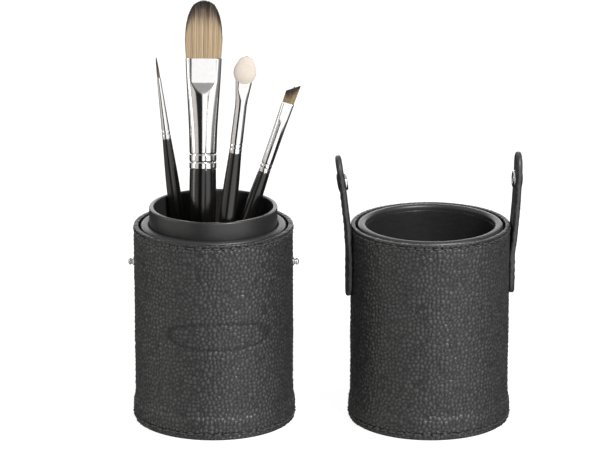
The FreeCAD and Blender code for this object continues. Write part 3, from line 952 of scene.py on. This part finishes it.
for hand in FLEX:
    for which in ("backing", "face"):
        strap_layer(hand, which)
    strap_thread(hand, 7.5, 21.5, "lid", f"{hand}_strap_anchor_stitches")
    strap_thread(hand, 27.5, 53.0, hand + "_strap", f"{hand}_strap_stitches")

# %% [markdown]
# ## Snaps and studs
#
# The snap is turned and pressed metal: a black domed cap outside, and inside a bright ring with a
# rolled lip. A wire spring sits in it and grips the stud's neck. On the cup are the two studs,
# each a small ball on a flared foot. All are turned outlines laid over on their sides.

# %% Snap parts
def lay_down(points, hand, along):
    """Put a turned piece's axis across the strap: its +Z becomes the way out of the strap."""
    path = strap_path(hand)
    r, z, lean = (np.interp(along, path[:, 0], path[:, k]) for k in (1, 2, 3))
    flat = points.reshape(-1, 3)
    x = r + flat[:, 2] * math.cos(lean) - flat[:, 0] * math.sin(-lean)
    height = z - flat[:, 2] * math.sin(lean) + flat[:, 0] * math.cos(lean)
    return beside_lid(hand, x, flat[:, 1], height)


SNAP_ALONG = 59.1
CAP_LINE = [
    (0, LAYER + 0.9), (2.8, LAYER + 0.82), (4.3, LAYER + 0.52), (4.9, LAYER + 0.25, 0.1),
    (4.8, LAYER - 0.05, 0.1), (1.05, LAYER - 0.05), (1.05, -0.9), (1.6, -1.0), (1.5, -1.2),
    (0, -1.2)]
SOCKET_LINE = [
    (3.4, -1.3), (3.4, -LAYER, 0.05), (4.3, -LAYER, 0.2), (4.35, -2.0, 0.25), (4.05, -2.6, 0.3),
    (3.0, -2.75, 0.3), (2.1, -2.65, 0.2), (2.05, -2.4, 0.1), (3.0, -2.35, 0.1), (3.05, -0.5),
    (1.1, -0.5), (1.1, -0.2), (3.4, -0.2)]
for hand in FLEX:
    for part, line, sides, closed, finish, sharp in (
            ("cap", CAP_LINE, 64, False, black_enamel, 55),
            ("socket", SOCKET_LINE, 72, True, nickel, 50)):
        line = rounded_line(line, 5)
        points = lay_down(turned_points(line, sides), hand, SNAP_ALONG)
        make_piece(f"{hand}_{part}", points, grid_faces(len(line), sides, closed), hand + "_strap",
                   finish, [f"{hand}_snap_{part}"], sharp)
    wire, turns = [], 60
    for step in range(turns):
        a = math.radians(20 + 320 * step / (turns - 1))
        ring_point = np.array((2.0 * math.cos(a), 2.0 * math.sin(a), -2.1))
        outward = np.array((math.cos(a), math.sin(a), 0))
        round_turn = full_turn(10)
        wire.append(ring_point + 0.26 * (np.outer(np.cos(round_turn), outward)
                                         + np.outer(np.sin(round_turn), (0, 0, 1))))
    ends = [list(range(10)), list(range((turns - 1) * 10, turns * 10))]
    points = lay_down(np.concatenate(wire), hand, SNAP_ALONG)
    make_piece(hand + "_spring", points, grid_faces(turns, 10) + ends, hand + "_strap",
               steel, [hand + "_snap_spring"], 50)

# %% [markdown]
# ### Studs on the cup
#
# A stud is turned brass, plated: a flared foot on the leather, a neck and a small ball. Both
# studs are one turned outline, laid on its side and mirrored to the other side of the cup.

# %% Studs on the cup
stud_low, stud_high = size_of("cup_snap_studs")
stud_z = (stud_low[2] + stud_high[2]) / 2
stud_tip = stud_high[0]
stud_line = rounded_line([
    (0, WALL - 1.2), (0.8, WALL - 1.2), (0.8, WALL - 0.25), (2.1, WALL - 0.25),
    (2.15, WALL + 0.3, 0.2), (1.45, WALL + 0.62, 0.2), (1.2, WALL + 0.95, 0.2),
    (1.25, stud_tip - 1.75, 0.2),
    (1.78, stud_tip - 1.25, 0.3), (1.72, stud_tip - 0.5, 0.3), (1.1, stud_tip - 0.05, 0.3),
    (0, stud_tip)], 6)
studs, stud_faces = [], []
for side in (1, -1):
    flat = turned_points(stud_line, 48).reshape(-1, 3)
    stud_faces += grid_faces(len(stud_line), 48, start=len(studs) * len(flat))
    studs.append(np.stack([side * flat[:, 2], side * flat[:, 1], stud_z + flat[:, 0]], -1))
make_piece("cup_studs", np.concatenate(studs), stud_faces, "cup", nickel, ["cup_snap_studs"], 45)
refinish("cup_stud_rivets", steel)

# %% [markdown]
# ## The brushes: where each one stands
#
# Each brush leans its own way, so it is drawn upright and then set in place. The CAD model gives
# the place: a brush slides out along its own joint, which is its length, and the handle's lowest
# point along that line is its foot.

# %% Brush places
def brush_place(name):
    """Origin and three directions of a brush: across, through and along it, in millimetres."""
    joint = next(j for j in frame["joints"] if j["child"] == name)
    along = -np.array(joint["axis"], float)
    along /= np.linalg.norm(along)
    across = np.array((1.0, 0, 0)) - along * along[0]
    across /= np.linalg.norm(across)
    basis = np.stack([across, np.cross(along, across), along])
    handle = frame["nodes"][name + "_handle"].data.vertices
    local = np.array([v.co for v in handle]) / MM @ basis.T
    middle_line = (local.min(0) + local.max(0)) / 2
    middle_line[2] = local[:, 2].min()
    return middle_line @ basis, basis


def brush_span(name, part):
    """Lowest and highest point of a brush's piece, measured along the brush from its foot."""
    origin, basis = brush_place(name)
    points = np.array([v.co for v in frame["nodes"][f"{name}_{part}"].data.vertices]) / MM
    along = (points - origin) @ basis[2]
    return along.min(), along.max()


def set_in_place(points, name):
    """Turn and move points drawn upright from 0 to where the brush stands."""
    origin, basis = brush_place(name)
    return np.asarray(points, float).reshape(-1, 3) @ basis + origin


for name in ("liner_brush", "foundation_brush", "sponge_applicator", "angled_brush"):
    print(name, "ferrule from", [round(float(v), 1) for v in brush_span(name, "ferrule")])

# %% [markdown]
# ## Handles
#
# The handles are turned wood dipped in black lacquer: a round foot, a slim tail, and a swell
# that stops at the ferrule. One smooth line through four radii makes each, with a round foot
# below it and a thinner tenon above it that goes into the ferrule.

# %% Handles
def smooth_line(knots, steps=60):
    """A smooth line through (radius, height) knots."""
    knots = np.array(knots, float)
    z = np.linspace(knots[0, 1], knots[-1, 1], steps)
    slope = np.gradient(knots[:, 0], knots[:, 1])
    line = []
    for height in z:
        k = min(max(np.searchsorted(knots[:, 1], height) - 1, 0), len(knots) - 2)
        span = knots[k + 1, 1] - knots[k, 1]
        t = (height - knots[k, 1]) / span
        ease = 3 * t ** 2 - 2 * t ** 3
        r = ((1 - ease) * knots[k, 0] + ease * knots[k + 1, 0]
             + ((t ** 3 - 2 * t ** 2 + t) * slope[k] + (t ** 3 - t ** 2) * slope[k + 1]) * span)
        line.append((r, height))
    return line


def handle(name, foot_r, middle_r, swell_r, swell_drop, top_r, tenon_r):
    """A handle from its radii. swell_drop is how far under the ferrule it is widest."""
    length = brush_span(name, "ferrule")[0]
    top = brush_span(name, "handle")[1]
    foot = [(0, 0), (foot_r * 0.4, foot_r * 0.06), (foot_r * 0.75, foot_r * 0.25),
            (foot_r * 0.93, foot_r * 0.5)]
    body = smooth_line([(foot_r, foot_r * 0.8), (middle_r, length * 0.45),
                        (swell_r, length - swell_drop), (top_r + 0.1, length - 0.6)])
    end = [(top_r, length - 0.12), (top_r - 0.15, length), (tenon_r, length + 0.02),
           (tenon_r, top - 0.3), (tenon_r - 0.3, top), (0, top)]
    points = turned_points(foot + body + end, 64)
    make_piece(name + "_wood", set_in_place(points, name), grid_faces(len(foot + body + end), 64),
               name, black_lacquer, [name + "_handle"], 45)


handle("liner_brush", 1.6, 2.5, 3.4, 24.0, 2.15, 1.25)
handle("foundation_brush", 3.2, 4.5, 6.75, 9.0, 6.5, 6.2)
handle("sponge_applicator", 1.9, 2.9, 3.9, 20.0, 3.0, 2.5)
handle("angled_brush", 1.7, 2.7, 3.45, 12.0, 2.9, 2.4)

# %% [markdown]
# ## Ferrules
#
# A ferrule is drawn metal tube, crimped on the handle by rolled grooves and pressed flat at the
# other end. A press leaves true flats with creases where they run out, and a plain loft
# can't show them. So each section starts as an oval, and a pair of flat planes then cuts it:
# where the planes come close together the flats are wide, and where they part the tube is round.

# %% Ferrules
def pressed_section(half_width, half_depth, plane, sides, soften=0.12):
    """An oval with its front and back pressed to flat planes at +-plane."""
    turn = full_turn(sides)
    x = half_width * np.cos(turn)
    y = half_depth * np.sin(turn)
    over = np.abs(y) - plane
    held = plane + soften * np.tanh(np.maximum(over, 0) / soften) * 0.6
    y = np.where(over > 0, np.sign(y) * held, y)
    return np.stack([x, y], -1)


def ferrule(name, sections, crimps, sides=96, wall=0.35, groove=0.3):
    """sections are (height, half width, half depth, plane); crimps are heights of grooves."""
    base, top = brush_span(name, "ferrule")
    sections = np.array(sections, float)
    length = top - base
    heights = np.unique(np.concatenate(
        [np.arange(0.35, length - 0.2, 0.55), sections[:, 0], [0, 0.12, length - 0.08, length]]
        + [np.arange(c - 1.0, c + 1.01, 0.2) for c in crimps]))
    heights = heights[(heights >= 0) & (heights <= length)]
    rows = []
    for inward, run in ((0, heights), (wall, heights[::-1])):
        for z in run:
            a, b, plane = (np.interp(z, sections[:, 0], sections[:, k]) for k in (1, 2, 3))
            less = inward + sum(groove * math.exp(-((z - c) / 0.42) ** 2) for c in crimps)
            if inward == 0:
                less += 0.12 * max(0.0, 1 - min(z, length - z) / 0.15)
            ring_xy = pressed_section(a - less, b - less, plane - less, sides)
            rows.append(np.column_stack([ring_xy, np.full(sides, base + z)]))
    make_piece(name + "_tube", set_in_place(np.concatenate(rows), name),
               grid_faces(len(rows), sides, True), name, nickel, [name + "_ferrule"], 28)


ferrule("liner_brush", [(0, 2.2, 2.2, 9), (15, 1.6, 1.6, 9), (31.3, 0.95, 0.95, 9)],
        (2.2, 4.4), wall=0.2, groove=0.12)
ferrule("foundation_brush", [
    (0, 6.8, 6.8, 9), (8, 6.8, 6.8, 8), (20, 7.15, 6.3, 6.4), (30, 7.7, 5.6, 5.7),
    (37.2, 8.15, 4.95, 4.95), (43, 8.5, 4.35, 2.85), (43.6, 8.55, 4.3, 2.75),
    (55.2, 9.1, 3.9, 2.65)], (3.4, 7.4))
ferrule("sponge_applicator", [
    (0, 3.1, 3.1, 9), (5, 3.1, 3.1, 9), (24, 2.9, 2.9, 2.95), (27.5, 3.1, 2.75, 2.7),
    (32, 3.6, 2.4, 1.75), (32.5, 3.65, 2.35, 1.65), (37, 4.15, 2.1, 1.5)], (2.4, 4.6), groove=0.2)
ferrule("angled_brush", [
    (0, 2.95, 2.95, 9), (6, 2.95, 2.95, 9), (22, 2.95, 2.75, 2.75), (26.5, 3.0, 2.6, 2.6),
    (28, 3.05, 2.5, 1.95), (28.6, 3.05, 2.5, 1.85), (37, 3.2, 2.3, 1.6)], (2.2, 4.4), groove=0.2)

# %% [markdown]
# ## Hair
#
# A painted block never looks like hair, because hair ends one by one. Each head is a bundle of
# separate tapered strands around a solid core. A strand starts at a point of the ferrule's
# mouth and keeps its share of the width and depth all the way up, so the bundle takes the head's
# own outline. Its end follows the cut, and the dark natural tips follow the ends.

# %% Strands
def strands(name, head, count, radius, width_at, depth_at, end_at, finish, tip_length, stray,
            core=0.86, rows=7):
    """Hair strands round a core.

    width_at and depth_at give the bundle at a share of its height, and end_at gives the height
    at which a hair ends from its share of the width.
    """
    root, top = brush_span(name, "ferrule")[1] - 1.5, brush_span(name, head)[1]
    full = top - root
    points, faces, near_tip, tones, total = [], [], [], [], 0
    spread = np.sqrt(rng.random(count) ** 0.55)
    turn = rng.random(count) * 2 * np.pi
    share_x, share_y = spread * np.cos(turn), spread * np.sin(turn)
    corner = full_turn(3)
    for u, v in zip(share_x, share_y):
        end = root + full * end_at(u) * (1 - 0.03 * rng.random() ** 2 - 0.02 * abs(v))
        tone = rng.random()
        drift = rng.normal(0, stray, 2)
        spin = rng.random() * 6
        for step in range(rows):
            t = step / (rows - 1)
            z = root + (end - root) * t
            share = (z - root) / full
            x = u * width_at(share) + drift[0] * t * t
            y = v * depth_at(share) + drift[1] * t * t
            thick = radius * (1 - 0.75 * t ** 6)
            points.append(np.column_stack([
                x + thick * np.cos(corner + spin), y + thick * np.sin(corner + spin), [z] * 3]))
            dark_part = tip_length * (1 - 0.65 * u * u)
            near_tip += [np.clip(1 - (end - z) / dark_part, 0, 1)] * 3
            tones += [tone] * 3
        faces += grid_faces(rows, 3, start=total)
        faces.append((total, total + 2, total + 1))
        faces.append((total + 3 * rows - 3, total + 3 * rows - 2, total + 3 * rows - 1))
        total += 3 * rows
    sides, levels = 40, 24
    around = full_turn(sides)
    for step in range(levels):
        for a in around:
            u, v = core * math.cos(a), core * math.sin(a)
            end = root + full * end_at(u) * 0.9
            z = root + (end - root) * step / (levels - 1)
            share = (z - root) / full
            slim = math.sqrt(max(0.0, 1 - (step / (levels - 1)) ** 6))
            points.append(np.array([[u * width_at(share) * slim, v * depth_at(share) * slim, z]]))
            near_tip.append(np.clip(1 - (end - z) / tip_length, 0, 1))
            tones.append(0.25)
    faces += grid_faces(levels, sides, start=total)
    faces.append(list(range(total, total + sides)))
    make_piece(f"{name}_{head}_strands", set_in_place(np.concatenate(points), name), faces, name,
               finish, [f"{name}_{head}"], 80, {"near_tip": near_tip, "tone": tones},
               "brush_hair")

# %% [markdown]
# ### The three heads of hair
#
# The foundation brush is full and flat with a round cut, the liner has a few hairs that meet in
# a point, and the angled brush is thin and cut on a slant. The curves give width and depth from
# the ferrule's mouth to the tip.

# %% Heads of hair
def curve_of(*knots):
    """A function that follows straight lines between (place, value) knots."""
    heights, values = zip(*knots)
    return lambda share: float(np.interp(share, heights, values))


round_cut = curve_of((0, 1.0), (0.275, 0.983), (0.555, 0.925), (0.725, 0.835), (0.835, 0.745),
                     (0.905, 0.65), (0.957, 0.55), (1, 0.36))
strands(
    "foundation_brush", "hair", 2600, 0.115,
    curve_of((0, 8.75), (0.2, 9.2), (0.36, 9.45), (1, 9.45)),
    curve_of((0, 2.1), (0.3, 3.0), (0.6, 2.9), (0.85, 1.9), (1, 0.7)),
    lambda u: round_cut(abs(u)), tan_hair, 15.0, 0.05)
liner_girth = curve_of((0, 0.62), (0.2, 0.82), (0.5, 0.62), (0.8, 0.38), (1, 0.16))
strands("liner_brush", "hair", 150, 0.07, liner_girth, liner_girth,
        lambda u: 1 - 0.06 * abs(u), liner_hair, 9.0, 0.01)
strands(
    "angled_brush", "hair", 700, 0.09,
    curve_of((0, 2.75), (0.4, 2.95), (1, 3.15)),
    curve_of((0, 1.15), (0.5, 1.1), (1, 0.75)),
    lambda u: 0.80 + 0.20 * u, brown_hair, 7.0, 0.03)

# %% [markdown]
# ## The sponge tip
#
# The applicator's tip is a teardrop of fine foam pulled over a flat core. It is a turned form
# squeezed flat, with the small hollows of open foam pressed in.

# %% Sponge
sponge_top = brush_span("sponge_applicator", "sponge")[1]
mouth = brush_span("sponge_applicator", "ferrule")[1]
half = smooth_line([
    (4.35, mouth + 0.1), (4.95, mouth + 1.1), (5.6, mouth + 4.2), (5.15, mouth + 6.6),
    (3.9, mouth + 9.2), (2.5, mouth + 11.2), (0.6, sponge_top - 0.05)], 52)
sides = 64
around = full_turn(sides)
hidden = np.full(sides, mouth - 3)
sponge_rows = [np.column_stack([0 * around, 0 * around, hidden]),
               np.column_stack([3.3 * np.cos(around), 0.9 * np.sin(around), hidden])]
for r, z in half:
    depth = 0.56 * r * (1 - 0.1 * (z - mouth) / 12)
    rim = np.column_stack([r * np.cos(around), depth * np.sin(around), np.full(sides, z)])
    pores = [noise.noise(Vector(p) * 3.1) + 0.6 * noise.noise(Vector(p) * 6.3) for p in rim]
    rim[:, :2] *= 1 - 0.012 * np.clip(pores, -0.2, 1)[:, None]
    sponge_rows.append(rim)
sponge = make_piece("sponge_tip", set_in_place(np.concatenate(sponge_rows), "sponge_applicator"),
                    grid_faces(len(sponge_rows), sides), "sponge_applicator", ivory_sponge,
                    ["sponge_applicator_sponge"], 60)
